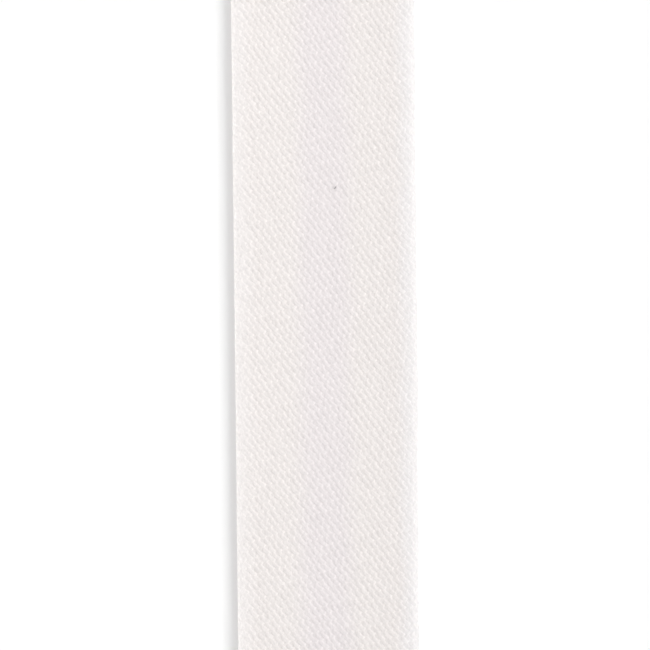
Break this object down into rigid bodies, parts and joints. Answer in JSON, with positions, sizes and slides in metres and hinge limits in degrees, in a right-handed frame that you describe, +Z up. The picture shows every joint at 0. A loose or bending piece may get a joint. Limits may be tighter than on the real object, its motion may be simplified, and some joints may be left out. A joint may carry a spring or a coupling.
{
  "type": "cut length of satin bias tape",
  "caption": "Straight cut length of off-white satin bias tape lying flat, right side up, with both long edges folded under.",
  "frame": {"origin": "middle of the underside, on the surface that the tape rests on", "axes": "+Y along the tape's length, +Z up out of its right side, X across its width"},
  "size_m": [0.0152, 0.0752, 0.0014],
  "materials": {
    "white_satin": "fine satin weave, bias cut, soft sheen"
  },
  "bodies": {
    "root": {"bias_tape": "white_satin"}
  },
  "joints": []
}
